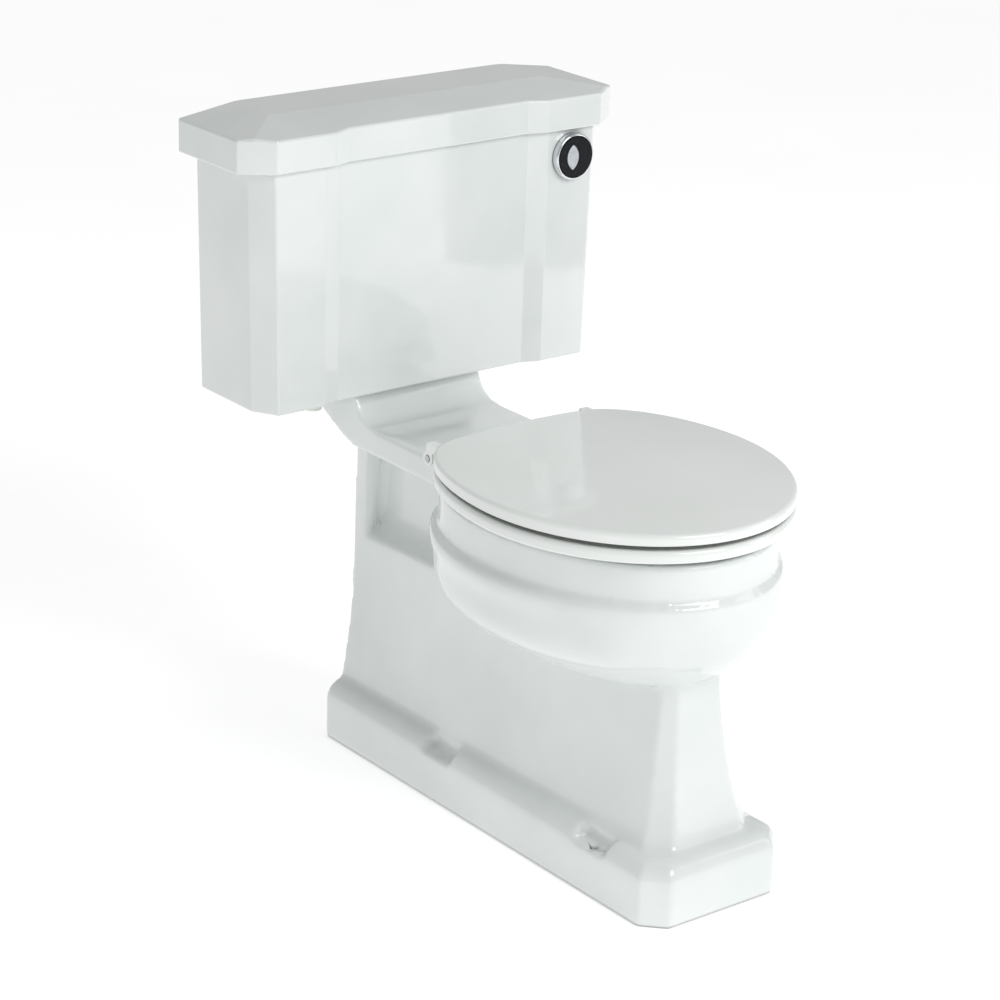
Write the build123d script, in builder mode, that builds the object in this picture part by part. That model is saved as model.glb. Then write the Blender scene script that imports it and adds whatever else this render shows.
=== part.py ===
from build123d import *
import os

os.makedirs("parts", exist_ok=True)

# ---------------------------------------------------------------- overall size
projection = 688.0  # wall to the front of the seat
wall_y = projection / 2  # the origin is on the floor under the middle of the toilet

# ---------------------------------------------------------------- pan
rim_top = 414.0
rim_ledge = 368.0
rim_half_width = 168.0
rim_front = 677.0
rim_rear = 248.0
mouth_half_width = 118.0
mouth_front = 640.0
mouth_rear = 318.0
plinth_half_width = 100.0
plinth_front = 686.0
plinth_rear = 66.0
plinth_corner = 26.0
plinth_height = 50.0
shoulder = 25.0
bowl_widest = 455.0
slab_half_width = 92.0
slab_top = 418.0
slab_thickness = 32.0
slab_bottom = slab_top - slab_thickness
web_front = 90.0
pocket_floor = 268.0
spine_half_width = 32.0
platform_top = 452.0
platform_rear = 14.0
platform_front = 104.0
outlet_height = 190.0
outlet_radius = 51.0
outlet_bore = 40.0
outlet_end = 46.0
trap_radius = 36.0
floor_hole_x = 88.0
floor_hole_front = 571.0
floor_hole_rear = 288.0
floor_hole_radius = 4.5

# ---------------------------------------------------------------- coupling between pan and cistern
flush_ahead = 62.0
flush_bore = 26.0
cup_radius = 38.5
cup_depth = 22.0
coupling_x = 76.0
coupling_bolt_radius = 4.0
coupling_hole_radius = 6.0
nut_well_radius = 14.0
nut_well_top = 432.0

# ---------------------------------------------------------------- cistern
tank_bottom = 457.0
tank_top = 766.0
tank_rear = 4.0
tank_front = 140.0
tank_half_width = 245.0
tank_taper = 6.5
tank_wall = 9.0
tank_corner_width = 18.0
tank_corner_depth = 30.0
panel_recess = 8.0
upright_edge = 4.0
bottom_edge = 3.5
panel_half_width = 134.0
panel_step = 24.0
cover_side_overhang = 21.0
cover_front_overhang = 8.0
cover_corner_width = 36.0
cover_corner_depth = 27.0
cover_panel_half_width = 127.0
cover_bottom = 741.0
cover_rim = 780.0
cover_top = 790.5
cover_slope = 72.0
cover_gap = 2.0
cover_lower_edge = 2.5
cover_rim_edge = 3.0

# ---------------------------------------------------------------- seat and hinge
seat_half_width = 184.0
seat_front = projection
seat_rear = 298.0
seat_widest = 478.0
seat_back_half_width = 90.0
ring_bottom = 421.0
ring_thickness = 15.0
ring_rear = 304.0
ring_hole_half_width = 112.0
ring_hole_front = 636.0
ring_hole_rear = 352.0
cover_seat_bottom = 442.0
cover_seat_top = 466.0
dome_radius = 1700.0
hinge_ahead = 284.0
hinge_height = 430.0
hinge_x = 77.5
hinge_pin_radius = 4.0
hinge_gap = 0.4
post_half_width = 12.0
lug_width = 12.0
lug_radius = 8.5
side_gap = 1.5

# ---------------------------------------------------------------- flush buttons and linkage
button_x = 193.0
button_z = 707.5
bezel_radius = 28.0
bezel_depth = 9.0
button_radius = 24.2
barrel_radius = 19.0
barrel_bore = 16.5
button_thickness = 3.2
rod_radius = 2.5
full_rod_offset = 10.0
half_rod_offset = -6.5
leaf_offset = -4.0
leaf_half_width = 8.8
leaf_radius = 18.0
shaft_ahead = 104.0
shaft_drop = 12.0
barrel_length = tank_front - shaft_ahead - 8
shaft_radius = 3.0
sleeve_radius = 5.5
arm_x = 24.0
arm_reach = 52.0
rod_gap = 1.5

# ---------------------------------------------------------------- flush valve and fill valve
valve_tail_radius = 23.5
valve_bore = 19.5
lift_tube_radius = 14.0
fill_x = -120.0
fill_ahead = 62.0
fill_tail_radius = 10.4
fill_shank_radius = 11.2
fill_tail_end = 426.0
lever_reach = 34.0


def ahead(distance):
    """The y of a point this far in front of the wall."""
    return wall_y - distance


def both_sides(x):
    return (-x, x)


def egg(half_width, front, rear, widest=bowl_widest):
    """Two half ellipses that meet at the widest place."""
    middle = (0, ahead(widest))
    with BuildLine() as outline:
        EllipticalCenterArc(middle, half_width, front - widest, 180, arc_size=180)
        EllipticalCenterArc(middle, half_width, widest - rear, 0, arc_size=180)
    make_face(outline.line)


def seat_outline(inset=0):
    """A straight back, rounded rear corners and an elliptical front."""
    wide = seat_half_width - inset
    rear = ahead(seat_rear + inset)
    middle = ahead(seat_widest)
    back = seat_back_half_width - inset * 0.6
    with BuildLine() as outline:
        EllipticalCenterArc((0, middle), wide, seat_front - seat_widest - inset, 180, arc_size=180)
        Spline((wide, middle), (back, rear), tangents=[(0, 1), (-1, 0)], tangent_scalars=(1.1, 0.9))
        Line((back, rear), (-back, rear))
        Spline((-back, rear), (-wide, middle), tangents=[(-1, 0), (0, -1)], tangent_scalars=(0.9, 1.1))
    make_face(outline.line)


def column_plan(rear_half, front_half, front, rear, corner):
    """A tapering block with its two front corners cut off."""
    with BuildLine() as outline:
        Polyline(
            (-rear_half, ahead(rear)),
            (-front_half, ahead(front - corner)),
            (-front_half + corner, ahead(front)),
            (front_half - corner, ahead(front)),
            (front_half, ahead(front - corner)),
            (rear_half, ahead(rear)),
            close=True,
        )
    make_face(outline.line)


def stepped_plan(wide, front, rear, corner_width, corner_depth, panel):
    """Cut front corners and a middle panel set back behind a sloping step on each side."""
    corner_x = wide - corner_width
    corner_y = ahead(front - corner_depth)
    middle = ahead(front - panel_recess)
    with BuildLine() as outline:
        Polyline(
            (-wide, ahead(rear)),
            (-wide, corner_y),
            (-corner_x, ahead(front)),
            (-panel - panel_step, ahead(front)),
            (-panel, middle),
            (panel, middle),
            (panel + panel_step, ahead(front)),
            (corner_x, ahead(front)),
            (wide, corner_y),
            (wide, ahead(rear)),
            close=True,
        )
    make_face(outline.line)


def tank_plan(grow=0, rear=tank_rear, half_width=tank_half_width):
    """The cistern's outline, or one this much outside it."""
    stepped_plan(
        half_width + grow,
        tank_front + grow,
        rear,
        tank_corner_width + grow * 0.3,
        tank_corner_depth + grow * 0.55,
        panel_half_width - grow * 0.2,
    )


def upright(x, y, low, high, radius, mode=Mode.ADD):
    """A vertical cylinder."""
    with BuildSketch(Plane.XY.offset(low)) as profile:
        with Locations((x, y)):
            Circle(radius)
    extrude(profile.sketch, amount=high - low, mode=mode)


def crosswise(x_low, x_high, y, z, radius, mode=Mode.ADD):
    """A cylinder along X."""
    with BuildSketch(Plane(origin=(x_low, y, z), x_dir=(0, 1, 0), z_dir=(1, 0, 0))) as profile:
        Circle(radius)
    extrude(profile.sketch, amount=x_high - x_low, mode=mode)


def inward(x, z, front, rear, radius, mode=Mode.ADD):
    """A cylinder along Y, between two distances from the wall."""
    with BuildSketch(Plane(origin=(x, ahead(front), z), x_dir=(1, 0, 0), z_dir=(0, 1, 0))) as profile:
        Circle(radius)
    extrude(profile.sketch, amount=front - rear, mode=mode)


def block(x_low, x_high, front, rear, low, high, mode=Mode.ADD):
    """A box between two distances from the wall."""
    with BuildSketch(Plane.XY.offset(low)) as profile:
        with Locations(((x_low + x_high) / 2, ahead((front + rear) / 2))):
            Rectangle(x_high - x_low, front - rear)
    extrude(profile.sketch, amount=high - low, mode=mode)


def save(name, label):
    name.part.label = label
    export_step(name.part, f"parts/{label}.step")


# ---------------------------------------------------------------- pan
column_top = plinth_height + shoulder
column_sections = [
    (column_top - 1, 78, 76, 660, 24),
    (100, 74, 67, 652, 22),
    (150, 67, 56, 642, 19),
    (205, 63, 47, 634, 16),
    (260, 62, 43, 629, 14),
    (396, 62, 43, 629, 14),
]
belly_sections = [
    (rim_ledge, 175, 684, 240),
    (342, 174, 683, 241),
    (319, 171, 680, 244),
    (299, 165, 673, 250),
    (281, 148, 660, 266),
    (266, 127, 645, 286),
    (254, 100, 628, 310),
    (246, 68, 610, 336),
]
bowl_sections = [
    (rim_top - 26, 150, 660, 284),
    (342, 152, 662, 285),
    (319, 147, 656, 292),
    (299, 141, 648, 300),
    (280, 119, 626, 320),
    (262, 84, 600, 340),
    (240, 40, 556, 352),
    (190, 34, 498, 352),
    (122, 26, 441, 356),
]
trap_start = 386.0
trap_low = 145.0
trap_bend = 60.0

with BuildLine(Plane.YZ) as waterway:
    sump = Line((ahead(trap_start), trap_low), (ahead(330), trap_low))
    rise = JernArc(sump @ 1, sump % 1, trap_bend, 50)
    climb = PolarLine(rise @ 1, 75, direction=rise % 1)
    crown = JernArc(climb @ 1, climb % 1, trap_bend, -85)
    fall = PolarLine(crown @ 1, 58, direction=crown % 1)
    level = JernArc(fall @ 1, fall % 1, trap_bend, 35)
    Line(level @ 1, (ahead(60), (level @ 1).Z))

with BuildPart() as trap_water:
    with BuildSketch(Plane(origin=(0, ahead(trap_start), trap_low), x_dir=(1, 0, 0), z_dir=(0, 1, 0))):
        Circle(trap_radius)
    sweep(path=waterway.line)


def tapering(sections):
    """Egg-shaped outlines, each at its own height, for a loft."""
    outlines = []
    for height, half, front, rear in sections:
        with BuildSketch(Plane.XY.offset(height)) as section:
            egg(half, front, rear, min(bowl_widest, (front + rear) / 2))
        outlines.append(section.sketch)
    return outlines


with BuildPart() as pan_hollow:
    block(-88, 88, 668, web_front - 8, -1, 45)
    block(-54, 54, 622, web_front + 6, 44, 101)
    block(-48, 48, 334, web_front + 6, 100, 236)
    block(-30, 30, 606, 514, 100, 188)
    with BuildSketch(Plane(origin=(0, ahead(trap_start), trap_low), x_dir=(1, 0, 0), z_dir=(0, 1, 0))):
        Circle(trap_radius + 9)
    sweep(path=waterway.line, mode=Mode.SUBTRACT)

with BuildPart() as side_pocket:
    with BuildSketch(Plane.XZ.offset(-ahead(web_front))):
        with BuildLine():
            Polyline((spine_half_width, 300), (spine_half_width, 390), (110, 390), (110, pocket_floor - 8))
            Spline(
                (110, pocket_floor - 8),
                (60, pocket_floor - 4),
                (spine_half_width, 300),
                tangents=[(-1, 0), (0, 1)],
            )
        make_face()
    extrude(amount=330 - web_front)
    mirror(about=Plane.YZ)

with BuildPart() as pan:
    with BuildSketch():
        column_plan(plinth_half_width, plinth_half_width, plinth_front, plinth_rear, plinth_corner)
    extrude(amount=column_top)
    rounded = pan.faces().sort_by(Axis.Z)[-1].edges().sort_by(Axis.Y)[:-1]
    fillet(rounded, shoulder - 0.5)
    for height, back, half, front, corner in column_sections:
        with BuildSketch(Plane.XY.offset(height)):
            column_plan(back, half, front, plinth_rear, corner)
    loft()
    add(side_pocket, mode=Mode.SUBTRACT)
    block(-30, 30, 335, web_front - 2, 250, slab_bottom + 2)
    add(pan_hollow, mode=Mode.SUBTRACT)
    inward(0, outlet_height, web_front + 8, outlet_end, outlet_radius)
    add(trap_water, mode=Mode.SUBTRACT)
    inward(0, outlet_height, 62, outlet_end - 1, outlet_bore, Mode.SUBTRACT)
    for x in both_sides(floor_hole_x):
        for distance in (floor_hole_front, floor_hole_rear):
            upright(x, ahead(distance), 0, 62, 11)
    for side in (-1, 1):
        for distance in (floor_hole_front, floor_hole_rear):
            low_x, high_x = sorted((side * 78, side * 110))
            block(low_x, high_x, distance + 27, distance - 27, 57, column_top + 5, Mode.SUBTRACT)
            upright(side * floor_hole_x, ahead(distance), -1, 60, floor_hole_radius, Mode.SUBTRACT)
    loft(tapering(belly_sections))
    with BuildSketch(Plane.XY.offset(rim_ledge - 2)):
        egg(rim_half_width, rim_front, rim_rear)
    extrude(amount=rim_top - rim_ledge + 2)
    with BuildSketch(Plane.YZ):
        with BuildLine():
            Polyline((ahead(320), slab_bottom), (ahead(320), slab_top), (ahead(150), slab_top))
            Spline(
                (ahead(150), slab_top),
                (ahead(120), slab_top + 9),
                (ahead(platform_front), platform_top),
                tangents=[(1, 0), (0.3, 1)],
            )
            Polyline(
                (ahead(platform_front), platform_top),
                (ahead(platform_rear), platform_top),
                (ahead(platform_rear), 427),
            )
            Spline(
                (ahead(platform_rear), 427),
                (ahead(62), 404),
                (ahead(118), slab_bottom),
                tangents=[(-0.9, -0.45), (-1, 0)],
            )
            Line((ahead(118), slab_bottom), (ahead(320), slab_bottom))
        make_face()
    extrude(amount=slab_half_width, both=True)
    upright(0, ahead(flush_ahead), 384, 436, cup_radius)
    loft(tapering(bowl_sections[:6]), mode=Mode.SUBTRACT)
    loft(tapering(bowl_sections[5:]), mode=Mode.SUBTRACT)
    with BuildSketch(Plane.XY.offset(rim_top - 27)):
        egg(mouth_half_width, mouth_front, mouth_rear)
    extrude(amount=40, mode=Mode.SUBTRACT)
    upright(0, ahead(flush_ahead), platform_top - cup_depth, platform_top + 1, cup_radius, Mode.SUBTRACT)
    upright(0, ahead(flush_ahead), 394, platform_top, flush_bore, Mode.SUBTRACT)
    block(-24, 24, 345, flush_ahead, 394, 406, Mode.SUBTRACT)
    for x in both_sides(coupling_x):
        upright(x, ahead(flush_ahead), 380, nut_well_top, nut_well_radius, Mode.SUBTRACT)
        upright(x, ahead(flush_ahead), 380, platform_top + 1, coupling_hole_radius, Mode.SUBTRACT)
    for x in both_sides(hinge_x):
        upright(x, ahead(hinge_ahead), slab_bottom - 1, slab_top + 1, 6.5, Mode.SUBTRACT)
        block(x - 17, x + 17, hinge_ahead + 17, hinge_ahead - 35, slab_bottom - 45, slab_bottom, Mode.SUBTRACT)
save(pan, "pan")

# ---------------------------------------------------------------- cistern
fill_hole_radius = fill_shank_radius + 1.0
wall_hole_x = 140.0
wall_hole_z = 690.0
wall_hole_radius = 3.5
inner_rear = tank_rear + tank_wall
floor_top = tank_bottom + 10

with BuildPart() as cistern:
    for height, narrow in ((tank_bottom, tank_taper), (tank_top, 0)):
        with BuildSketch(Plane.XY.offset(height)):
            tank_plan(half_width=tank_half_width - narrow)
    loft()
    uprights = cistern.edges().filter_by(lambda edge: edge.length > tank_top - tank_bottom - 1)
    fillet(uprights, upright_edge)
    fillet(cistern.edges().group_by(Axis.Z)[0], bottom_edge)
    for height, narrow in ((floor_top, tank_taper), (tank_top + 1, 0)):
        with BuildSketch(Plane.XY.offset(height)):
            tank_plan(-tank_wall, inner_rear, tank_half_width - narrow)
    loft(mode=Mode.SUBTRACT)
    upright(0, ahead(flush_ahead), tank_bottom - 1, floor_top + 1, valve_tail_radius + 1.5, Mode.SUBTRACT)
    upright(fill_x, ahead(fill_ahead), tank_bottom - 1, floor_top + 1, fill_hole_radius, Mode.SUBTRACT)
    for x in both_sides(coupling_x):
        upright(x, ahead(flush_ahead), tank_bottom - 1, floor_top + 1, coupling_hole_radius, Mode.SUBTRACT)
    for x in both_sides(wall_hole_x):
        inward(x, wall_hole_z, inner_rear + 1, tank_rear - 1, wall_hole_radius, Mode.SUBTRACT)
    inward(button_x, button_z, tank_front + 1, tank_front - tank_wall - 2, barrel_radius + 1, Mode.SUBTRACT)
save(cistern, "cistern")

roof_wide = tank_half_width + cover_side_overhang
roof_front = tank_front + cover_front_overhang

with BuildPart() as hipped_roof:
    block(-roof_wide, roof_wide, roof_front, 0, cover_bottom - 1, cover_rim)
    with BuildSketch(Plane.XY.offset(cover_rim)):
        with Locations((0, ahead(roof_front / 2))):
            Rectangle(2 * roof_wide, roof_front)
    with BuildSketch(Plane.XY.offset(cover_top)):
        with Locations((0, ahead((roof_front - cover_slope) / 2))):
            Rectangle(2 * (roof_wide - cover_slope), roof_front - cover_slope)
    loft(ruled=True)

with BuildPart() as cistern_lid:
    with BuildSketch(Plane.XY.offset(cover_bottom)):
        stepped_plan(
            roof_wide,
            roof_front,
            0,
            cover_corner_width,
            cover_corner_depth,
            cover_panel_half_width,
        )
    extrude(amount=cover_top - cover_bottom)
    add(hipped_roof, mode=Mode.INTERSECT)
    fillet(cistern_lid.edges().filter_by(Axis.Z), upright_edge)
    fillet(cistern_lid.edges().group_by(Axis.Z)[0], cover_lower_edge)
    rim = cistern_lid.edges().filter_by(lambda edge: abs(edge.center().Z - cover_rim) < 0.6)
    fillet(rim, cover_rim_edge)
    with BuildSketch(Plane.XY.offset(cover_bottom - 1)):
        tank_plan(cover_gap, tank_rear - 1)
    extrude(amount=tank_top - cover_bottom + 1, mode=Mode.SUBTRACT)
    with BuildSketch(Plane.XY.offset(tank_top - 1)):
        tank_plan(-tank_wall - 2, inner_rear + 2)
    extrude(amount=7, mode=Mode.SUBTRACT)
save(cistern_lid, "cistern_lid")

# ---------------------------------------------------------------- joint between pan and cistern
backnut_top = tank_bottom
gasket_low = platform_top - cup_depth
gasket_top = gasket_low + 13

with BuildPart() as inlet_gasket:
    upright(0, ahead(flush_ahead), gasket_low, gasket_top, cup_radius - 0.5)
    upright(0, ahead(flush_ahead), gasket_low, gasket_top, valve_tail_radius + 0.6, Mode.SUBTRACT)
    fillet(inlet_gasket.edges().group_by(Axis.Z)[-1].sort_by(SortBy.LENGTH)[-1], 3)
save(inlet_gasket, "inlet_gasket")

with BuildPart() as valve_backnut:
    with BuildSketch(Plane.XY.offset(gasket_top)):
        with Locations((0, ahead(flush_ahead))):
            RegularPolygon(cup_radius - 2, 6)
    extrude(amount=backnut_top - gasket_top)
    upright(0, ahead(flush_ahead), gasket_top, backnut_top, valve_tail_radius + 0.5, Mode.SUBTRACT)
save(valve_backnut, "valve_backnut")

bolt_head_low = floor_top + 4
bolt_low = 404.0
wing_top = nut_well_top - 4

with BuildPart() as coupling_bolts:
    for x in both_sides(coupling_x):
        upright(x, ahead(flush_ahead), bolt_low, bolt_head_low, coupling_bolt_radius)
        upright(x, ahead(flush_ahead), bolt_head_low, bolt_head_low + 5, 9)
        block(x - 7, x + 7, flush_ahead + 1, flush_ahead - 1, bolt_head_low + 3, bolt_head_low + 6, Mode.SUBTRACT)
save(coupling_bolts, "coupling_bolts")

with BuildPart() as coupling_bolt_seals:
    for x in both_sides(coupling_x):
        upright(x, ahead(flush_ahead), floor_top, bolt_head_low, 11)
        upright(x, ahead(flush_ahead), floor_top, bolt_head_low, coupling_bolt_radius + 0.4, Mode.SUBTRACT)
save(coupling_bolt_seals, "coupling_bolt_seals")

with BuildPart() as coupling_washers:
    for x in both_sides(coupling_x):
        upright(x, ahead(flush_ahead), wing_top + 2.4, nut_well_top, 11)
        upright(x, ahead(flush_ahead), wing_top + 2.4, nut_well_top, coupling_bolt_radius + 0.4, Mode.SUBTRACT)
save(coupling_washers, "coupling_washers")

with BuildPart() as coupling_wing_nuts:
    for x in both_sides(coupling_x):
        upright(x, ahead(flush_ahead), wing_top - 8, wing_top + 2.4, 7)
        block(x - 2, x + 2, flush_ahead + 12, flush_ahead - 12, wing_top - 14, wing_top - 2)
        upright(x, ahead(flush_ahead), wing_top - 15, wing_top + 2.4, coupling_bolt_radius + 0.4, Mode.SUBTRACT)
save(coupling_wing_nuts, "coupling_wing_nuts")

# ---------------------------------------------------------------- seat ring, lid and hinges
hinge_y = ahead(hinge_ahead)
post_edge = hinge_x + post_half_width
ring_lug_low = post_edge + side_gap
ring_lug_high = ring_lug_low + lug_width
lid_lug_low = ring_lug_high + side_gap
lid_lug_high = lid_lug_low + lug_width
ring_top = ring_bottom + ring_thickness

with BuildPart() as seat_ring:
    with BuildSketch(Plane.XY.offset(ring_bottom)):
        seat_outline()
    extrude(amount=ring_thickness)
    fillet(seat_ring.edges().group_by(Axis.Z)[-1], 6)
    fillet(seat_ring.edges().group_by(Axis.Z)[0], 4)
    block(-120, 120, ring_rear, seat_rear - 5, ring_bottom - 1, ring_top + 1, Mode.SUBTRACT)
    with BuildSketch(Plane.XY.offset(ring_bottom - 1)):
        egg(ring_hole_half_width, ring_hole_front, ring_hole_rear, 450)
    extrude(amount=ring_thickness + 2, mode=Mode.SUBTRACT)
    for side in (-1, 1):
        low_x, high_x = sorted((side * ring_lug_low, side * ring_lug_high))
        block(low_x, high_x, ring_rear + 6, hinge_ahead, hinge_height - 5, hinge_height + 4)
        crosswise(low_x, high_x, hinge_y, hinge_height, lug_radius)
        crosswise(low_x, high_x, hinge_y, hinge_height, hinge_pin_radius + hinge_gap, Mode.SUBTRACT)
save(seat_ring, "seat_ring")

with BuildPart() as seat_lid:
    with BuildSketch(Plane.XY.offset(cover_seat_bottom)):
        seat_outline()
    extrude(amount=40)
    dome = Plane.XY.offset(cover_seat_top - dome_radius).origin + Vector(0, ahead(seat_widest), 0)
    with Locations(dome):
        Sphere(dome_radius, mode=Mode.INTERSECT)
    fillet(seat_lid.faces().sort_by(Axis.Z)[-1].edges(), 5)
    with BuildSketch(Plane.XY.offset(cover_seat_bottom)):
        seat_outline(12)
    extrude(amount=8, mode=Mode.SUBTRACT)
    for side in (-1, 1):
        low_x, high_x = sorted((side * lid_lug_low, side * lid_lug_high))
        block(low_x, high_x, seat_rear + 24, hinge_ahead - 3, ring_top + 2, cover_seat_bottom + 6)
        block(low_x, high_x, hinge_ahead + 8, hinge_ahead - 3, hinge_height, ring_top + 3)
        crosswise(low_x, high_x, hinge_y, hinge_height, lug_radius)
        crosswise(low_x, high_x, hinge_y, hinge_height, hinge_pin_radius + hinge_gap, Mode.SUBTRACT)
save(seat_lid, "seat_lid")

with BuildPart() as hinge_pins:
    for side in (-1, 1):
        low_x, high_x = sorted((side * (hinge_x - post_half_width + 2), side * (lid_lug_high + 1)))
        crosswise(low_x, high_x, hinge_y, hinge_height, hinge_pin_radius)
save(hinge_pins, "hinge_pins")

with BuildPart() as hinge_posts:
    for x in both_sides(hinge_x):
        low_x, high_x = x - post_half_width, x + post_half_width
        upright(x, hinge_y, slab_top + 1.5, hinge_height, 10)
        crosswise(low_x, high_x, hinge_y, hinge_height, 9.5)
        crosswise(low_x, high_x, hinge_y, hinge_height, hinge_pin_radius, Mode.SUBTRACT)
save(hinge_posts, "hinge_posts")

with BuildPart() as hinge_seals:
    for x in both_sides(hinge_x):
        upright(x, hinge_y, slab_top, slab_top + 1.5, 11)
        upright(x, hinge_y, slab_top, slab_top + 1.5, 4.5, Mode.SUBTRACT)
save(hinge_seals, "hinge_seals")

with BuildPart() as seat_studs:
    for x in both_sides(hinge_x):
        upright(x, hinge_y, slab_bottom - 22, slab_top + 1.5, 4)
save(seat_studs, "seat_studs")

with BuildPart() as seat_wing_nuts:
    for x in both_sides(hinge_x):
        upright(x, hinge_y, slab_bottom - 14, slab_bottom - 3, 8)
        block(x - 13, x + 13, hinge_ahead + 1.5, hinge_ahead - 1.5, slab_bottom - 18, slab_bottom - 6)
        upright(x, hinge_y, slab_bottom - 19, slab_bottom - 3, 4.4, Mode.SUBTRACT)
save(seat_wing_nuts, "seat_wing_nuts")

with BuildPart() as seat_washers:
    for x in both_sides(hinge_x):
        upright(x, hinge_y, slab_bottom - 3, slab_bottom, 9.5)
        upright(x, hinge_y, slab_bottom - 3, slab_bottom, 4.4, Mode.SUBTRACT)
save(seat_washers, "seat_washers")

ring_buffer_spots = [(148, 420), (-148, 420), (72, 636), (-72, 636)]

with BuildPart() as ring_buffers:
    for x, distance in ring_buffer_spots:
        upright(x, ahead(distance), rim_top + 0.4, ring_bottom, 9)
save(ring_buffers, "ring_buffers")

lid_buffer_spots = [(140, 480), (-140, 480), (48, 644), (-48, 644)]

with BuildPart() as lid_buffers:
    for x, distance in lid_buffer_spots:
        upright(x, ahead(distance), ring_top + 0.4, cover_seat_bottom + 8, 7)
save(lid_buffers, "lid_buffers")

# ---------------------------------------------------------------- flush buttons
panel = tank_front
inner_face = tank_front - tank_wall
full_rod_x = button_x + full_rod_offset
half_rod_x = button_x + half_rod_offset
rod_end = shaft_ahead + 2 + rod_gap
button_front = panel + bezel_depth + 0.5
button_back = button_front - button_thickness
shaft_z = button_z + shaft_drop

with BuildPart() as button_bezel:
    inward(button_x, button_z, panel + bezel_depth, panel + 1, bezel_radius)
    fillet(button_bezel.edges().group_by(Axis.Y)[0], 2.5)
    inward(button_x, button_z, panel + 10, panel, button_radius + 0.6, Mode.SUBTRACT)
save(button_bezel, "button_bezel")

with BuildPart() as button_barrel:
    inward(button_x, button_z, panel + 1, panel, bezel_radius)
    inward(button_x, button_z, panel, panel - barrel_length, barrel_radius)
    inward(button_x, button_z, panel + 2, panel - barrel_length + 3, barrel_bore, Mode.SUBTRACT)
    for x in (full_rod_x, half_rod_x):
        inward(x, button_z, panel, panel - barrel_length - 1, rod_radius + 0.4, Mode.SUBTRACT)
    block(button_x - 2, button_x + 2, panel - barrel_length, shaft_ahead - 5, button_z - 6, shaft_z + 6)
    crosswise(button_x - 3, button_x + 3, ahead(shaft_ahead), shaft_z, shaft_radius + 0.4, Mode.SUBTRACT)
save(button_barrel, "button_barrel")

with BuildPart() as button_gasket:
    inward(button_x, button_z, inner_face, inner_face - 2, barrel_radius + 5)
    inward(button_x, button_z, inner_face + 1, inner_face - 3, barrel_radius + 0.5, Mode.SUBTRACT)
save(button_gasket, "button_gasket")

with BuildPart() as button_backnut:
    with BuildSketch(Plane(origin=(button_x, ahead(inner_face - 2), button_z), x_dir=(1, 0, 0), z_dir=(0, 1, 0))):
        RegularPolygon(barrel_radius + 6, 8)
    extrude(amount=8)
    inward(button_x, button_z, inner_face, inner_face - 12, barrel_radius + 0.5, Mode.SUBTRACT)
save(button_backnut, "button_backnut")

button_gap = 0.4
leaf_middle = button_x + leaf_offset


def leaf(radius, mode):
    """The leaf-shaped small button: what two circles share."""
    reach = leaf_radius - leaf_half_width
    with BuildSketch(Plane(origin=(0, ahead(button_front + 1), 0), x_dir=(1, 0, 0), z_dir=(0, 1, 0))) as profile:
        with Locations((leaf_middle - reach, -button_z)):
            Circle(radius)
        with Locations((leaf_middle + reach, -button_z)):
            Circle(radius, mode=Mode.INTERSECT)
    extrude(profile.sketch, amount=button_thickness + 2, mode=mode)


with BuildPart() as full_flush_button:
    inward(button_x, button_z, button_front, button_back, button_radius)
    leaf(leaf_radius + button_gap, Mode.SUBTRACT)
    inward(full_rod_x, button_z, button_back, rod_end, rod_radius)
save(full_flush_button, "full_flush_button")

with BuildPart() as half_flush_button:
    inward(button_x, button_z, button_front, button_back, button_radius)
    leaf(leaf_radius - button_gap, Mode.INTERSECT)
    inward(half_rod_x, button_z, button_back, rod_end, rod_radius)
save(half_flush_button, "half_flush_button")

spring_seat = panel - barrel_length + 3
spring_length = button_back - spring_seat - 1.2


def coil(x):
    """A return spring around a button's rod."""
    start = (x, ahead(spring_seat + 0.6), button_z)
    with BuildLine() as turns:
        Helix(pitch=spring_length / 7, height=spring_length, radius=3.7, center=start, direction=(0, -1, 0))
    with BuildSketch(Plane(origin=turns.line @ 0, z_dir=turns.line % 0)) as wire:
        Circle(0.4)
    sweep(wire.sketch, path=turns.line)


with BuildPart() as full_button_spring:
    coil(full_rod_x)
save(full_button_spring, "full_button_spring")

with BuildPart() as half_button_spring:
    coil(half_rod_x)
save(half_button_spring, "half_button_spring")

# ---------------------------------------------------------------- linkage from the buttons to the flush valve
shaft_y = ahead(shaft_ahead)
arm_rear = shaft_ahead - arm_reach


def push_pad(x):
    """The short arm that a button's rod presses on."""
    block(x - 4, x + 4, shaft_ahead + 2, shaft_ahead - 2, button_z - 5, shaft_z)


def lift_arm(x):
    """The long arm that raises the valve."""
    block(x - 3, x + 3, shaft_ahead, arm_rear, shaft_z - 2, shaft_z + 2)


with BuildPart() as full_flush_rocker:
    crosswise(-arm_x - 18, full_rod_x + 8, shaft_y, shaft_z, shaft_radius)
    crosswise(full_rod_x - 4, full_rod_x + 4, shaft_y, shaft_z, sleeve_radius)
    push_pad(full_rod_x)
    crosswise(-arm_x - 3, -arm_x + 3, shaft_y, shaft_z, sleeve_radius)
    lift_arm(-arm_x)
save(full_flush_rocker, "full_flush_rocker")

with BuildPart() as half_flush_rocker:
    crosswise(arm_x - 3, half_rod_x + 4, shaft_y, shaft_z, sleeve_radius)
    push_pad(half_rod_x)
    lift_arm(arm_x)
    crosswise(arm_x - 4, half_rod_x + 5, shaft_y, shaft_z, shaft_radius + 0.6, Mode.SUBTRACT)
save(half_flush_rocker, "half_flush_rocker")

# ---------------------------------------------------------------- flush valve
valve_y = ahead(flush_ahead)
seat_z = floor_top + 14
tube_low = seat_z + 3
tube_high = 660.0
cage_top = 640.0
pin_z = shaft_z + 2 + 0.8 + 2.5
strap_top = pin_z + 4

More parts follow.
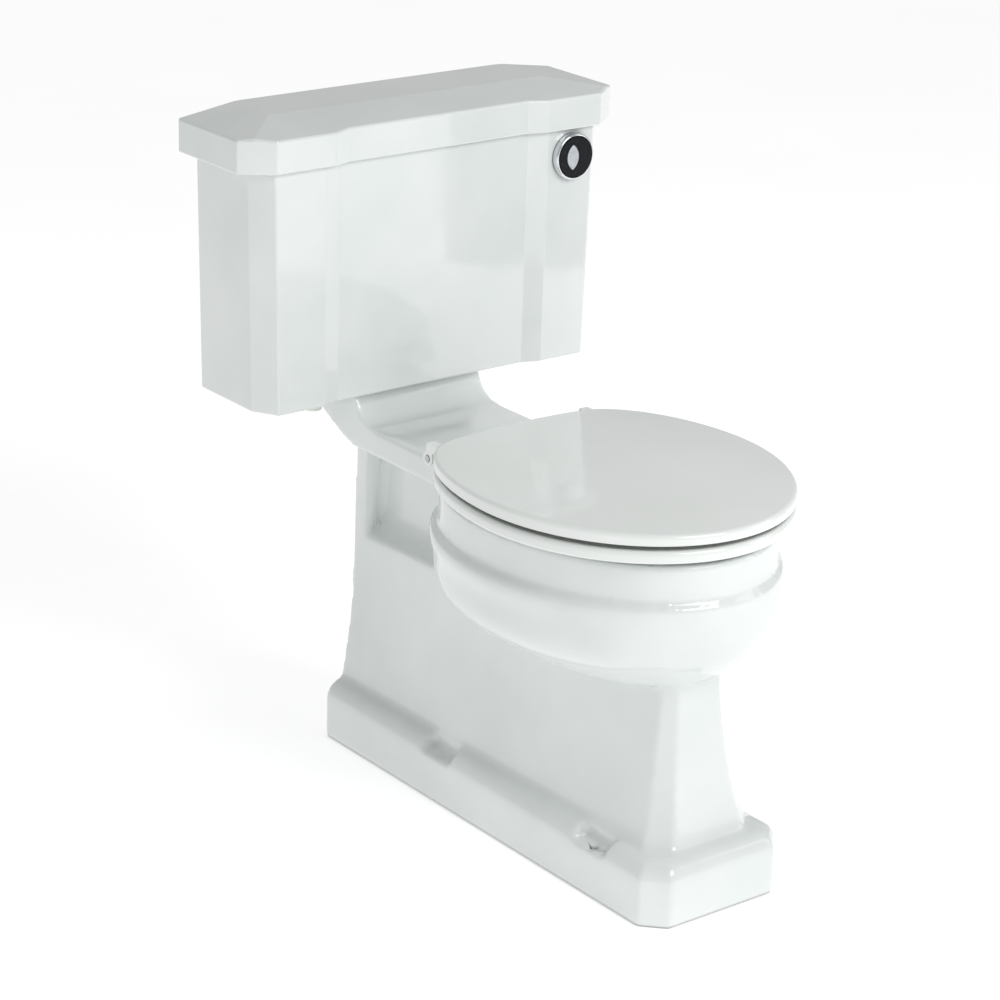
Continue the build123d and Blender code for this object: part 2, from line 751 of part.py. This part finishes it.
with BuildPart() as valve_body:
    upright(0, valve_y, gasket_low + 2, floor_top + 3, valve_tail_radius)
    upright(0, valve_y, floor_top + 3, seat_z - 1, 38)
    upright(0, valve_y, seat_z - 1, seat_z, valve_bore + 3)
    for angle in (45, 135, 225, 315):
        with Locations(Location((0, valve_y, seat_z - 2), (0, 0, angle))):
            with Locations((35, 0, (cage_top - seat_z + 2) / 2)):
                Box(4, 6, cage_top - seat_z + 2)
    upright(0, valve_y, cage_top - 8, cage_top, 37)
    upright(0, valve_y, cage_top - 9, cage_top + 1, 27, Mode.SUBTRACT)
    upright(0, valve_y, gasket_low, seat_z + 1, valve_bore, Mode.SUBTRACT)
save(valve_body, "valve_body")

with BuildPart() as valve_seal:
    upright(0, valve_y, floor_top, floor_top + 3, 37)
    upright(0, valve_y, floor_top, floor_top + 3, valve_tail_radius + 0.5, Mode.SUBTRACT)
save(valve_seal, "valve_seal")

with BuildPart() as shaft_bracket:
    upright(0, valve_y, cage_top, cage_top + 3, 37)
    upright(0, valve_y, cage_top - 1, cage_top + 4, 27, Mode.SUBTRACT)
    for side in (-1, 1):
        low_x, high_x = sorted((side * 34, side * 38))
        block(low_x, high_x, flush_ahead + 8, flush_ahead - 8, cage_top, cage_top + 20)
        block(low_x, high_x, shaft_ahead + 8, flush_ahead - 8, cage_top + 14, cage_top + 24)
        block(low_x, high_x, shaft_ahead + 8, shaft_ahead - 8, cage_top + 14, shaft_z + 8)
    crosswise(-39, -33, shaft_y, shaft_z, shaft_radius + 0.4, Mode.SUBTRACT)
    crosswise(33, 39, shaft_y, shaft_z, sleeve_radius + 0.4, Mode.SUBTRACT)
save(shaft_bracket, "shaft_bracket")

with BuildPart() as lift_tube:
    upright(0, valve_y, tube_low, tube_low + 4, 30)
    upright(0, valve_y, tube_low, tube_high, lift_tube_radius)
    upright(0, valve_y, tube_low - 1, tube_high + 1, lift_tube_radius - 2.5, Mode.SUBTRACT)
    for x in both_sides(13):
        block(x - 1.5, x + 1.5, flush_ahead + 4, flush_ahead - 4, tube_high - 12, strap_top)
    block(-14.5, 14.5, flush_ahead + 4, flush_ahead - 4, strap_top - 3, strap_top)
    crosswise(-arm_x - 4, -12, valve_y, pin_z, 2.5)
save(lift_tube, "lift_tube")

with BuildPart() as flush_seal:
    upright(0, valve_y, seat_z, tube_low, 29)
    upright(0, valve_y, seat_z, tube_low, lift_tube_radius - 2.5, Mode.SUBTRACT)
save(flush_seal, "flush_seal")

with BuildPart() as half_flush_sleeve:
    upright(0, valve_y, 560, 600, 21)
    upright(0, valve_y, 559, 601, lift_tube_radius + 0.6, Mode.SUBTRACT)
    block(17.5, 20.5, flush_ahead + 4, flush_ahead - 4, 598, strap_top)
    crosswise(18, arm_x + 4, valve_y, pin_z, 2.5)
save(half_flush_sleeve, "half_flush_sleeve")

# ---------------------------------------------------------------- fill valve
fill_y = ahead(fill_ahead)
fill_top = 690.0
cup_low = 600.0
cup_high = 660.0
lever_z = 704.0
pivot_x = fill_x - 8
link_x = pivot_x + lever_reach

with BuildPart() as fill_valve_body:
    upright(fill_x, fill_y, fill_tail_end, floor_top, fill_tail_radius)
    upright(fill_x, fill_y, tank_bottom - 8, floor_top + 3, fill_shank_radius)
    upright(fill_x, fill_y, floor_top + 3, floor_top + 8, 17)
    upright(fill_x, fill_y, floor_top + 8, fill_top, 12)
    upright(fill_x, fill_y, fill_top - 14, fill_top, 19)
    upright(fill_x, fill_y, fill_tail_end - 1, fill_top - 20, 5.5, Mode.SUBTRACT)
    for side in (-1, 1):
        front, rear = sorted((fill_ahead + side * 6, fill_ahead + side * 9), reverse=True)
        block(pivot_x - 5, pivot_x + 5, front, rear, fill_top - 1, lever_z + 5)
    with BuildSketch(Plane(origin=(pivot_x, ahead(fill_ahead + 10), lever_z), x_dir=(1, 0, 0), z_dir=(0, 1, 0))):
        Circle(2)
    extrude(amount=20)
save(fill_valve_body, "fill_valve_body")

with BuildPart() as fill_valve_seal:
    upright(fill_x, fill_y, floor_top, floor_top + 3, 16)
    upright(fill_x, fill_y, floor_top, floor_top + 3, fill_shank_radius + 0.4, Mode.SUBTRACT)
save(fill_valve_seal, "fill_valve_seal")

with BuildPart() as fill_valve_nut:
    with BuildSketch(Plane.XY.offset(tank_bottom - 8)):
        with Locations((fill_x, fill_y)):
            RegularPolygon(18, 6)
    extrude(amount=8)
    upright(fill_x, fill_y, tank_bottom - 9, tank_bottom + 1, fill_shank_radius + 0.4, Mode.SUBTRACT)
save(fill_valve_nut, "fill_valve_nut")

with BuildPart() as float_cup:
    upright(fill_x, fill_y, cup_low, cup_high, 38)
    fillet(float_cup.edges(), 4)
    upright(fill_x, fill_y, cup_low - 1, cup_high - 4, 34, Mode.SUBTRACT)
    upright(fill_x, fill_y, cup_low, cup_high - 3, 15)
    upright(fill_x, fill_y, cup_low - 1, cup_high + 1, 12.6, Mode.SUBTRACT)
    upright(link_x, fill_y, cup_high - 2, lever_z + 7, 1.2)
    upright(link_x, fill_y, lever_z + 5, lever_z + 7, 3)
save(float_cup, "float_cup")

with BuildPart() as float_lever:
    block(pivot_x - 4, link_x + 10, fill_ahead + 4, fill_ahead - 4, lever_z - 2, lever_z + 2)
    with BuildSketch(Plane(origin=(pivot_x, ahead(fill_ahead + 4), lever_z), x_dir=(1, 0, 0), z_dir=(0, 1, 0))):
        Circle(5)
    extrude(amount=8)
    inward(pivot_x, lever_z, fill_ahead + 5, fill_ahead - 5, 2.4, Mode.SUBTRACT)
    block(link_x - 6, link_x + 6.5, fill_ahead + 2, fill_ahead - 2, lever_z - 3, lever_z + 3, Mode.SUBTRACT)
save(float_lever, "float_lever")
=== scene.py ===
"""Close coupled toilet: glazed china, a moulded seat, chrome flush buttons and the fittings inside."""
import bpy
import math
from mathutils import Matrix, Vector
from mathutils.bvhtree import BVHTree


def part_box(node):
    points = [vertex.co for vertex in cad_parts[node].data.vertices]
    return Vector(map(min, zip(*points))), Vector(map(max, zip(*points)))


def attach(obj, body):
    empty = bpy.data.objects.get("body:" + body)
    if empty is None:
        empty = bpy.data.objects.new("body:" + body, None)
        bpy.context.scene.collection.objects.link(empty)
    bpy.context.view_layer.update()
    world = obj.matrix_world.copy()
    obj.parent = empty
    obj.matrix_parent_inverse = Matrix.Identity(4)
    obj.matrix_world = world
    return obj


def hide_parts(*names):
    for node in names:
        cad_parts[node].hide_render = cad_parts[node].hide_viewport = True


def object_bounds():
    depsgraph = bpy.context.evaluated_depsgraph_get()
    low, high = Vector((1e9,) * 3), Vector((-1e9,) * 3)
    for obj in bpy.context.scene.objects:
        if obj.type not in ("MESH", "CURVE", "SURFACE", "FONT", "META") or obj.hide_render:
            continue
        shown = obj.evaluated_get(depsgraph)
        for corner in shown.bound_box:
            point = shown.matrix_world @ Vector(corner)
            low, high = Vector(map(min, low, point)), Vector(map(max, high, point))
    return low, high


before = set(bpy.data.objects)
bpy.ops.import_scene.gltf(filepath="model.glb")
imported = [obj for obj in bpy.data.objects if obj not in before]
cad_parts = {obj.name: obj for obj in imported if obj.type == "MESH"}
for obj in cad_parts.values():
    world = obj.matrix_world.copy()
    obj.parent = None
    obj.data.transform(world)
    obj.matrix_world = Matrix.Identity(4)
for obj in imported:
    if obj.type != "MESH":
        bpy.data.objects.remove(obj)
cad_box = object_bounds()

bl_info = {
    "name": "Close Coupled Toilet",
    "version": (1, 0, 0),
    "blender": (4, 5, 0),
    "location": "View3D > Sidebar > Toilet",
    "description": "Glazes, finishes and lights a close coupled toilet",
    "category": "Object",
}

MM = 0.001
MERGE_DISTANCE = 0.02 * MM
UNDERSIDE_HEIGHT = 240 * MM


# ---------------------------------------------------------------- colours and nodes
def linear(colour_hex):
    """An sRGB hex colour as linear red, green, blue and alpha."""
    channels = [int(colour_hex[i:i + 2], 16) / 255 for i in (1, 3, 5)]
    return [c / 12.92 if c <= 0.04045 else ((c + 0.055) / 1.055) ** 2.4 for c in channels] + [1.0]


def per_metre(millimetres):
    """The texture scale that gives a pattern this size."""
    return 1000.0 / millimetres


def add_node(tree, kind, links=None, values=None, **settings):
    """Adds one node with its settings, its constant inputs and its incoming links."""
    new = tree.nodes.new(kind)
    for name, value in settings.items():
        setattr(new, name, value)
    for name, value in (values or {}).items():
        new.inputs[name].default_value = value
    for name, source in (links or {}).items():
        tree.links.new(source, new.inputs[name])
    return new


def blank_material(name):
    """An empty node material, its tree and the place on the object in metres."""
    material = bpy.data.materials.new(name)
    material.use_nodes = True
    tree = material.node_tree
    tree.nodes.clear()
    place = add_node(tree, "ShaderNodeTexCoord").outputs["Object"]
    return material, tree, place


def close_material(tree, shader):
    add_node(tree, "ShaderNodeOutputMaterial", links={"Surface": shader.outputs["BSDF"]})


def noise(tree, place, millimetres, detail=2.0, roughness=0.5):
    """Soft random patches of the given size, from 0 to 1."""
    return add_node(
        tree,
        "ShaderNodeTexNoise",
        links={"Vector": place},
        values={"Scale": per_metre(millimetres), "Detail": detail, "Roughness": roughness},
    ).outputs["Fac"]


def spread(tree, source, low, high, from_low=0.3, from_high=0.7):
    """Maps a pattern onto a range of values."""
    return add_node(
        tree,
        "ShaderNodeMapRange",
        links={"Value": source},
        values={"From Min": from_low, "From Max": from_high, "To Min": low, "To Max": high},
    ).outputs["Result"]


def blend_colours(tree, amount, first, second):
    """A colour that goes from the first to the second as the amount goes from 0 to 1."""
    mix = add_node(tree, "ShaderNodeMix", data_type="RGBA", links={"Factor": amount})
    mix.inputs["A"].default_value = linear(first)
    mix.inputs["B"].default_value = linear(second)
    return mix.outputs["Result"]


def gap_shade(tree, colour):
    """Paints shade into a colour: darkens it towards near black inside gaps a few millimetres wide, where
    hardly any light gets in, and a little in concave creases.
    """
    openness = add_node(tree, "ShaderNodeAmbientOcclusion", samples=6, values={"Distance": 12 * MM})
    light = spread(tree, openness.outputs["AO"], 0.0, 1.0, 0.12, 0.55)
    mix = add_node(tree, "ShaderNodeMix", data_type="RGBA", links={"Factor": light})
    # Near-black colour of the painted shade in the gaps.
    mix.inputs["A"].default_value = linear("#0C0C0C")
    tree.links.new(colour, mix.inputs["B"])
    return mix.outputs["Result"]


def relief(tree, height, millimetres, strength=1.0, normal=None):
    """A bump of the given depth."""
    links = {"Height": height}
    if normal is not None:
        links["Normal"] = normal
    values = {"Strength": strength, "Distance": millimetres * MM}
    return add_node(tree, "ShaderNodeBump", links=links, values=values).outputs["Normal"]


# ---------------------------------------------------------------- materials
def vitreous_china(name, light, shade):
    """Slip-cast vitreous china under a fired clear glaze: cool white with a faint green in the thick
    glaze, mirror-like highlights that swim a little because the glaze settles in slow waves."""
    material, tree, place = blank_material(name)
    cloud = noise(tree, place, 160, 3.0)
    colour = blend_colours(tree, spread(tree, cloud, 0.0, 1.0), light, shade)
    waves = noise(tree, place, 55, 1.0)
    ripple = relief(tree, waves, 0.55, 1.0)
    orange_peel = relief(tree, noise(tree, place, 5, 2.0), 0.012, 1.0, ripple)
    polish = spread(tree, noise(tree, place, 30, 4.0), 0.05, 0.11)
    # The base colour carries painted shade in gaps and creases, from gap_shade.
    shader = add_node(
        tree,
        "ShaderNodeBsdfPrincipled",
        links={"Base Color": gap_shade(tree, colour), "Roughness": polish, "Normal": orange_peel},
        values={"IOR": 1.52, "Coat Weight": 0.35, "Coat Roughness": 0.03, "Coat IOR": 1.5},
    )
    close_material(tree, shader)
    return material


def moulded_seat(name, light, shade):
    """Thermoset moulded white seat plastic: dense, glossy and whiter than the china, very slightly
    wavy from the press, with fine wiping marks in its polish."""
    material, tree, place = blank_material(name)
    cloud = noise(tree, place, 220, 2.0)
    colour = blend_colours(tree, spread(tree, cloud, 0.0, 1.0), light, shade)
    press_waves = relief(tree, noise(tree, place, 90, 1.0), 0.45, 1.0)
    wiped = add_node(tree, "ShaderNodeMapping", links={"Vector": place}, values={"Scale": (1.0, 9.0, 1.0)})
    marks = noise(tree, wiped.outputs["Vector"], 12, 5.0, 0.65)
    polish = spread(tree, marks, 0.05, 0.13)
    # The base colour carries painted shade in gaps and creases, from gap_shade.
    shader = add_node(
        tree,
        "ShaderNodeBsdfPrincipled",
        links={"Base Color": gap_shade(tree, colour), "Roughness": polish, "Normal": press_waves},
        values={"IOR": 1.56},
    )
    close_material(tree, shader)
    return material


def metal(name, bright, dull, patch, rough_low, rough_high, grain, grain_depth):
    """A plated or drawn metal with patches in its colour and polish and a fine grain."""
    material, tree, place = blank_material(name)
    patches = noise(tree, place, patch, 3.0)
    colour = blend_colours(tree, spread(tree, patches, 0.0, 1.0), bright, dull)
    polish = spread(tree, noise(tree, place, patch * 0.6, 5.0), rough_low, rough_high)
    normal = relief(tree, noise(tree, place, grain, 2.0), grain_depth, 1.0)
    shader = add_node(
        tree,
        "ShaderNodeBsdfPrincipled",
        links={"Base Color": colour, "Roughness": polish, "Normal": normal},
        values={"Metallic": 1.0},
    )
    close_material(tree, shader)
    return material


def moulded_plastic(name, light, shade, rough_low, rough_high, grain, grain_depth):
    """Injection-moulded plastic: an even colour that varies a little with the flow, and a fine
    spark-eroded texture from the mould."""
    material, tree, place = blank_material(name)
    colour = blend_colours(tree, spread(tree, noise(tree, place, 40, 2.0), 0.0, 1.0), light, shade)
    polish = spread(tree, noise(tree, place, 8, 4.0), rough_low, rough_high)
    normal = relief(tree, noise(tree, place, grain, 2.0), grain_depth, 1.0)
    shader = add_node(
        tree,
        "ShaderNodeBsdfPrincipled",
        links={"Base Color": colour, "Roughness": polish, "Normal": normal},
        values={"IOR": 1.49},
    )
    close_material(tree, shader)
    return material


FINISHES = {
    # Cool white with a faint green where the glaze lies thick.
    "vitreous_china": (vitreous_china, "vitreous_china_glaze", "#E9EDEC", "#DEE4E2"),
    # A shade whiter than the china, so the seat stands out against it.
    "seat_white": (moulded_seat, "thermoset_seat_white", "#F3F6F4", "#ECF0ED"),
    # Bright chromium over nickel: almost a mirror, with a faint polishing haze.
    "chrome_plate": (metal, "bright_chrome_plate", "#E4E6E8", "#D3D6DA", 14, 0.03, 0.09, 0.6, 0.002),
    # Bright zinc plate on steel: bluish, patchy, dulled by handling.
    "zinc_steel": (metal, "bright_zinc_plate", "#C9CDD1", "#A9AEB4", 3, 0.22, 0.42, 0.8, 0.02),
    # Drawn stainless spring wire: grey, with a fine drawn grain.
    "spring_steel": (metal, "drawn_spring_wire", "#B9BBBD", "#96999C", 2, 0.18, 0.34, 0.5, 0.01),
    # Unpigmented acetal: off-white and waxy.
    "valve_plastic": (moulded_plastic, "natural_acetal", "#ECECE6", "#DEDED6", 0.32, 0.46, 0.7, 0.02),
    # Black nylon: nearly matt, with a fine moulded grain.
    "dark_plastic": (moulded_plastic, "black_nylon", "#1D1E20", "#2A2B2E", 0.38, 0.55, 0.6, 0.03),
    # Blue polypropylene: a strong colour with a soft sheen.
    "blue_plastic": (moulded_plastic, "blue_polypropylene", "#2F63A6", "#28558F", 0.34, 0.5, 0.7, 0.02),
    # Moulded rubber: matt black, with a dusty bloom.
    "black_rubber": (moulded_plastic, "moulded_black_rubber", "#161616", "#222222", 0.6, 0.78, 0.5, 0.05),
    # Soft pale rubber: matt and a little grey.
    "buffer_rubber": (moulded_plastic, "soft_buffer_rubber", "#DCDDD9", "#CFD0CB", 0.5, 0.66, 0.5, 0.03),
    # Satin chromium: brushed before plating, so it spreads the room's light.
    "satin_chrome": (metal, "satin_chrome_plate", "#EDF1F6", "#DEE4EB", 9, 0.34, 0.44, 0.4, 0.004),
}


def finish_for(slot):
    """The finish that a material slot calls for, made the first time it is asked for."""
    make, name, *numbers = FINISHES[slot]
    return bpy.data.materials.get(name) or make(name, *numbers)


def finish(*nodes):
    """Gives each of these CAD pieces the finish of its own material slots."""
    for node in nodes:
        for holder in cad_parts[node].material_slots:
            holder.material = finish_for(holder.material.name.split(".")[0])


# ---------------------------------------------------------------- pieces made from the frame
def only_select(piece):
    bpy.ops.object.select_all(action="DESELECT")
    piece.select_set(True)
    bpy.context.view_layer.objects.active = piece


def merged_copy(node, name):
    """A separate copy of a CAD piece with its loose triangles joined."""
    piece = bpy.data.objects.new(name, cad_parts[node].data.copy())
    bpy.context.scene.collection.objects.link(piece)
    only_select(piece)
    bpy.ops.object.mode_set(mode="EDIT")
    bpy.ops.mesh.select_all(action="SELECT")
    bpy.ops.mesh.remove_doubles(threshold=MERGE_DISTANCE)
    bpy.ops.mesh.customdata_custom_splitnormals_clear()
    bpy.ops.object.mode_set(mode="OBJECT")
    return piece


def apply_modifier(piece, kind, **settings):
    """Adds a modifier with its settings and applies it."""
    modifier = piece.modifiers.new(kind.title(), kind)
    for name, value in settings.items():
        setattr(modifier, name, value)
    only_select(piece)
    bpy.ops.object.modifier_apply(modifier=modifier.name)


def weigh(piece, group_name, weight_of):
    """Gives each vertex a weight worked out from its place and normal."""
    group = piece.vertex_groups.new(name=group_name)
    for vertex in piece.data.vertices:
        group.add([vertex.index], weight_of(vertex.co, vertex.normal), "REPLACE")
    return group.name


# ---------------------------------------------------------------- scene
CAMERA_AZIMUTH = math.radians(-38.34)
CAMERA_ELEVATION = math.radians(20.52)
CAMERA_ROLL = math.radians(1.878)
CAMERA_PLACE = Vector((-2.1004, -2.5822, 1.6196))
FLOOR_SIZE = 30.0
FLAG_SIZE = 0.34


def place_camera(lens):
    level = math.cos(CAMERA_ELEVATION)
    back = Vector(
        (
            math.sin(CAMERA_AZIMUTH) * level,
            -math.cos(CAMERA_AZIMUTH) * level,
            math.sin(CAMERA_ELEVATION),
        )
    )
    data = bpy.data.cameras.new("camera")
    data.lens = lens
    data.sensor_width = 36.0
    camera = bpy.data.objects.new("camera", data)
    turn = (-back).to_track_quat("-Z", "Y").to_matrix() @ Matrix.Rotation(CAMERA_ROLL, 3, "Z")
    camera.matrix_world = Matrix.Translation(CAMERA_PLACE) @ turn.to_4x4()
    bpy.context.scene.collection.objects.link(camera)
    bpy.context.scene.camera = camera


def softbox(name, place, target, width, height, power):
    """A rectangular area light aimed at a point."""
    data = bpy.data.lights.new(name, "AREA")
    data.shape = "RECTANGLE"
    data.size, data.size_y = width, height
    data.energy = power
    light = bpy.data.objects.new(name, data)
    aim = (Vector(target) - Vector(place)).to_track_quat("-Z", "Y").to_matrix().to_4x4()
    light.matrix_world = Matrix.Translation(place) @ aim
    bpy.context.scene.collection.objects.link(light)


def black_flag(reach):
    """A black card, out of the picture, where the face of the flush button mirrors it."""
    low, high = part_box("full_flush_button")
    face = Vector(((low.x + high.x) / 2, low.y, (low.z + high.z) / 2))
    mirrored = (face - CAMERA_PLACE).normalized()
    mirrored.y = -mirrored.y
    turn = mirrored.to_track_quat("Z", "Y").to_matrix().to_4x4()
    bpy.ops.object.select_all(action="DESELECT")
    bpy.ops.mesh.primitive_plane_add(size=1.0)
    card = bpy.context.active_object
    card.name = "black_flag"
    shape = Matrix.Diagonal((FLAG_SIZE, FLAG_SIZE, 1.0, 1.0))
    card.data.transform(Matrix.Translation(face + mirrored * reach) @ turn @ shape)
    card.data.materials.append(finish_for("dark_plastic"))


def studio_floor(glow):
    bpy.ops.object.select_all(action="DESELECT")
    bpy.ops.mesh.primitive_plane_add(size=FLOOR_SIZE, location=(0, 0, cad_box[0].z))
    floor = bpy.context.active_object
    floor.name = "studio_floor"
    bpy.ops.object.transform_apply(location=True, rotation=True, scale=True)
    # White paper, lit a little from behind so that it stays brighter than the china.
    material, tree, place = blank_material("white_paper_sweep")
    colour = blend_colours(tree, noise(tree, place, 400, 2.0), "#FBFBFB", "#F8F8F8")
    shader = add_node(
        tree,
        "ShaderNodeBsdfPrincipled",
        links={"Base Color": colour, "Emission Color": colour},
        values={"Roughness": 0.85, "Emission Strength": glow},
    )
    close_material(tree, shader)
    floor.data.materials.append(material)


def studio_world(strength):
    world = bpy.data.worlds.new("studio")
    bpy.context.scene.world = world
    world.use_nodes = True
    tree = world.node_tree
    tree.nodes.clear()
    background = add_node(
        tree, "ShaderNodeBackground", values={"Color": linear("#FFFFFF"), "Strength": strength}
    )
    add_node(tree, "ShaderNodeOutputWorld", links={"Surface": background.outputs["Background"]})


# ---------------------------------------------------------------- settings
class ToiletStage(bpy.types.PropertyGroup):
    lens: bpy.props.FloatProperty(name="Lens", description="Focal length", default=112.5, unit="CAMERA")
    ambient: bpy.props.FloatProperty(name="Ambient", description="Brightness of the room", default=0.50)
    glow: bpy.props.FloatProperty(name="Glow", description="How far the floor lights itself", default=0.48)
    key: bpy.props.FloatProperty(name="Key", description="Main light", default=42.0, subtype="POWER")
    fill: bpy.props.FloatProperty(name="Fill", description="Side light", default=8.0, subtype="POWER")
    flag_reach: bpy.props.FloatProperty(
        name="Flag reach", description="From the button to the black card", default=0.9, unit="LENGTH"
    )


class ToiletChina(bpy.types.PropertyGroup):
    voxel: bpy.props.FloatProperty(
        name="Voxel", description="Grid that the casting is rebuilt on", default=0.0034, unit="LENGTH"
    )
    smoothing: bpy.props.IntProperty(name="Smoothing", description="How far edges are softened", default=7)
    triangles: bpy.props.IntProperty(
        name="Triangles", description="Triangles kept in the finished pan", default=180000
    )


# ---------------------------------------------------------------- operators
class TOILET_OT_stage(bpy.types.Operator):
    """Set the floor, the lights and the camera"""

    bl_idname = "toilet.stage"
    bl_label = "Stage"

    def execute(self, context):
        settings = context.scene.toilet_stage
        studio_floor(settings.glow)
        studio_world(settings.ambient)
        softbox("key_light", (0.4, -2.7, 2.5), (0, 0, 0.45), 1.8, 1.6, settings.key)
        softbox("fill_light", (2.4, -1.6, 1.4), (0, 0, 0.4), 1.2, 1.8, settings.fill)
        black_flag(settings.flag_reach)
        place_camera(settings.lens)
        context.scene.view_settings.view_transform = "Standard"
        return {"FINISHED"}


class TOILET_OT_pan(bpy.types.Operator):
    """Soften the pan the way slip and glaze round every edge of a casting"""

    bl_idname = "toilet.pan"
    bl_label = "Pan"

    def execute(self, context):
        settings = context.scene.toilet_china
        finish("pan")
        low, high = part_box("pan")
        pan = merged_copy("pan", "glazed_pan")
        apply_modifier(pan, "REMESH", mode="VOXEL", voxel_size=settings.voxel, adaptivity=0.0)
        apply_modifier(pan, "SMOOTH", factor=0.5, iterations=settings.smoothing)
        surface = BVHTree.FromObject(pan, context.evaluated_depsgraph_get())
        reach = (high - low).length

        def hidden(place, normal):
            """1 where the surface looks at another wall close by, as in the underside's hollows."""
            start = place + normal * MM
            ahead = surface.ray_cast(start, normal, reach)[0]
            down = surface.ray_cast(start, Vector((0, 0, -1)), reach)[0]
            up = surface.ray_cast(start, Vector((0, 0, 1)), reach)[0]
            return 1.0 if ahead and up and (down or place.z < low.z + UNDERSIDE_HEIGHT) else 0.0

        weigh(pan, "underside", hidden)
        triangles = sum(len(face.vertices) - 2 for face in pan.data.polygons)
        ratio = min(1.0, settings.triangles / triangles)
        apply_modifier(pan, "DECIMATE", ratio=ratio, vertex_group="underside", vertex_group_factor=10.0)
        bpy.ops.object.shade_smooth()
        pan.data.materials.clear()
        pan.data.materials.append(finish_for("vitreous_china"))
        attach(pan, "toilet")
        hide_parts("pan")
        return {"FINISHED"}


class TOILET_OT_cistern(bpy.types.Operator):
    """Glaze the cistern and its lid"""

    bl_idname = "toilet.cistern"
    bl_label = "Cistern"

    def execute(self, context):
        finish(
            "cistern",
            "cistern_lid",
        )
        return {"FINISHED"}


class TOILET_OT_seat(bpy.types.Operator):
    """Finish the seat ring, its lid and the buffers under them"""

    bl_idname = "toilet.seat"
    bl_label = "Seat"

    def execute(self, context):
        finish(
            "seat_ring",
            "seat_lid",
            "ring_buffers",
            "lid_buffers",
        )
        return {"FINISHED"}


class TOILET_OT_hinges(bpy.types.Operator):
    """Finish the seat hinges and what holds them to the pan"""

    bl_idname = "toilet.hinges"
    bl_label = "Hinges"

    def execute(self, context):
        finish(
            "hinge_pins",
            "hinge_posts",
            "hinge_seals",
            "seat_studs",
            "seat_wing_nuts",
            "seat_washers",
        )
        return {"FINISHED"}


class TOILET_OT_coupling(bpy.types.Operator):
    """Finish the joint between the pan and the cistern"""

    bl_idname = "toilet.coupling"
    bl_label = "Coupling"

    def execute(self, context):
        finish(
            "inlet_gasket",
            "valve_backnut",
            "coupling_bolts",
            "coupling_bolt_seals",
            "coupling_washers",
            "coupling_wing_nuts",
        )
        return {"FINISHED"}


class TOILET_OT_buttons(bpy.types.Operator):
    """Plate the flush buttons and finish what carries them"""

    bl_idname = "toilet.buttons"
    bl_label = "Buttons"

    def execute(self, context):
        finish(
            "button_bezel",
            "button_barrel",
            "button_gasket",
            "button_backnut",
            "full_flush_button",
            "half_flush_button",
            "full_button_spring",
            "half_button_spring",
        )
        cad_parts["half_flush_button"].material_slots[0].material = finish_for("satin_chrome")
        return {"FINISHED"}


class TOILET_OT_flush_valve(bpy.types.Operator):
    """Finish the flush valve and the rockers that lift it"""

    bl_idname = "toilet.flush_valve"
    bl_label = "Flush valve"

    def execute(self, context):
        finish(
            "full_flush_rocker",
            "half_flush_rocker",
            "valve_body",
            "valve_seal",
            "shaft_bracket",
            "lift_tube",
            "flush_seal",
            "half_flush_sleeve",
        )
        return {"FINISHED"}


class TOILET_OT_fill_valve(bpy.types.Operator):
    """Finish the fill valve and its float"""

    bl_idname = "toilet.fill_valve"
    bl_label = "Fill valve"

    def execute(self, context):
        finish(
            "fill_valve_body",
            "fill_valve_seal",
            "fill_valve_nut",
            "float_cup",
            "float_lever",
        )
        return {"FINISHED"}


class TOILET_PT_panel(bpy.types.Panel):
    """Every step, in the order it is made"""

    bl_idname = "TOILET_PT_panel"
    bl_label = "Toilet"
    bl_space_type = "VIEW_3D"
    bl_region_type = "UI"
    bl_category = "Toilet"

    def draw(self, context):
        for operator in STEPS:
            self.layout.operator(operator.bl_idname)


STEPS = (
    TOILET_OT_pan,
    TOILET_OT_cistern,
    TOILET_OT_seat,
    TOILET_OT_hinges,
    TOILET_OT_coupling,
    TOILET_OT_buttons,
    TOILET_OT_flush_valve,
    TOILET_OT_fill_valve,
    TOILET_OT_stage,
)
CLASSES = (ToiletStage, ToiletChina, *STEPS, TOILET_PT_panel)


def register():
    for item in CLASSES:
        bpy.utils.register_class(item)
    bpy.types.Scene.toilet_stage = bpy.props.PointerProperty(type=ToiletStage)
    bpy.types.Scene.toilet_china = bpy.props.PointerProperty(type=ToiletChina)


def unregister():
    del bpy.types.Scene.toilet_china
    del bpy.types.Scene.toilet_stage
    for item in reversed(CLASSES):
        bpy.utils.unregister_class(item)


def main():
    register()
    bpy.ops.toilet.pan()
    bpy.ops.toilet.cistern()
    bpy.ops.toilet.seat()
    bpy.ops.toilet.hinges()
    bpy.ops.toilet.coupling()
    bpy.ops.toilet.buttons()
    bpy.ops.toilet.flush_valve()
    bpy.ops.toilet.fill_valve()
    bpy.ops.toilet.stage()


if __name__ == "__main__":
    main()
